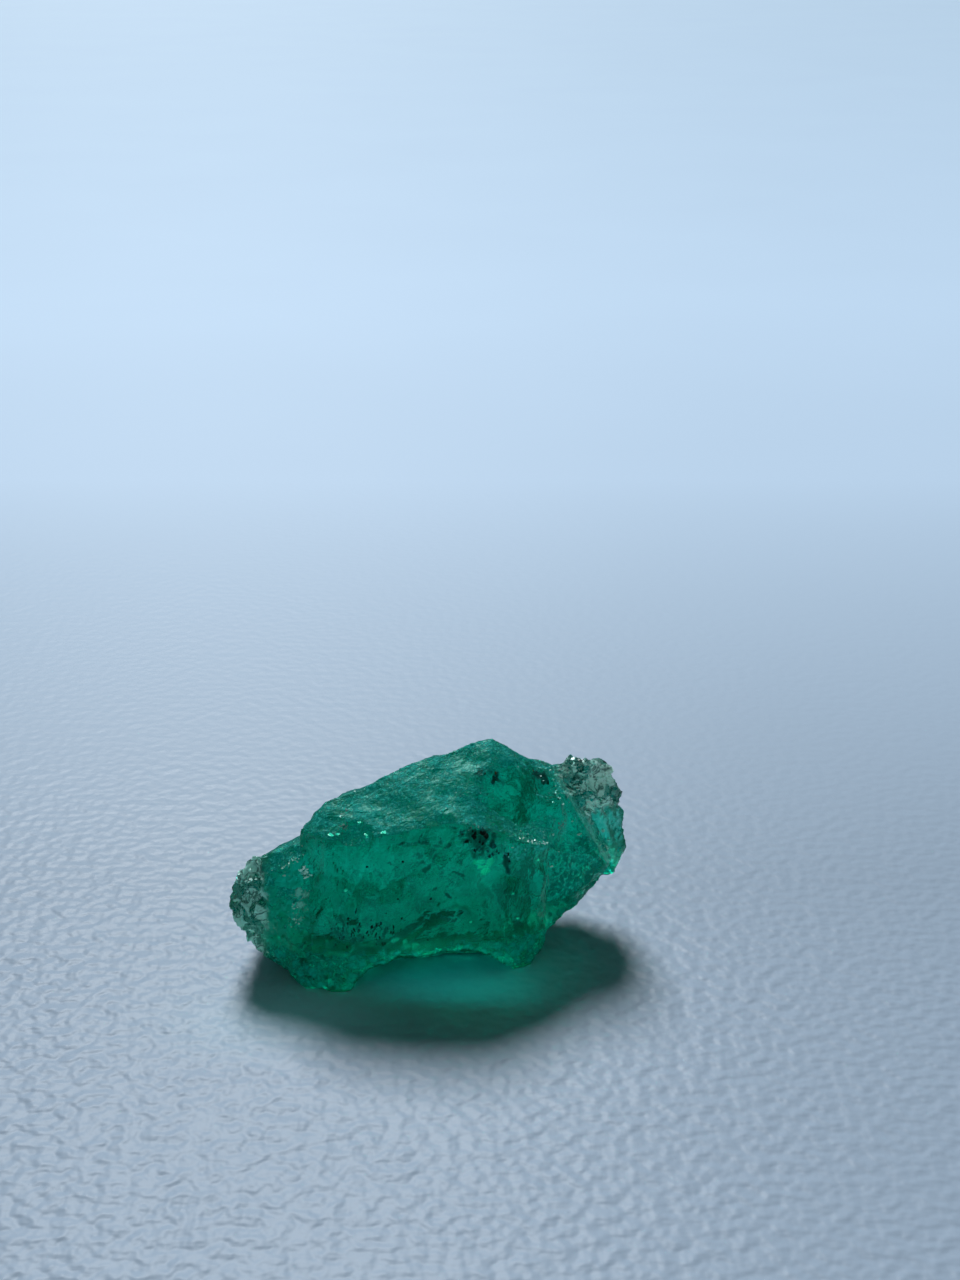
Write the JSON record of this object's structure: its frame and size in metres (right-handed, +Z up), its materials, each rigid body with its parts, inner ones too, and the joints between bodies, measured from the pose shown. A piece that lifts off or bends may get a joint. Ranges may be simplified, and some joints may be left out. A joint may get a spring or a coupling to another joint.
{
  "type": "raw emerald crystal",
  "caption": "Rough green beryl crystal about 18 mm long, lying on its side, with a frosted top, a clear front face, dark inclusions and pale ends.",
  "frame": {"origin": "on the resting plane, below the middle of the stone's box", "axes": "+Z up, +X along the stone towards its broken end with the pale knob, -Y is the glassy front"},
  "size_m": [0.0178, 0.0098, 0.0092],
  "materials": {
    "green_beryl": "translucent green crystal, glassy front, etched frosted top and ends"
  },
  "bodies": {
    "root": {"emerald_crystal": "green_beryl"}
  },
  "joints": []
}
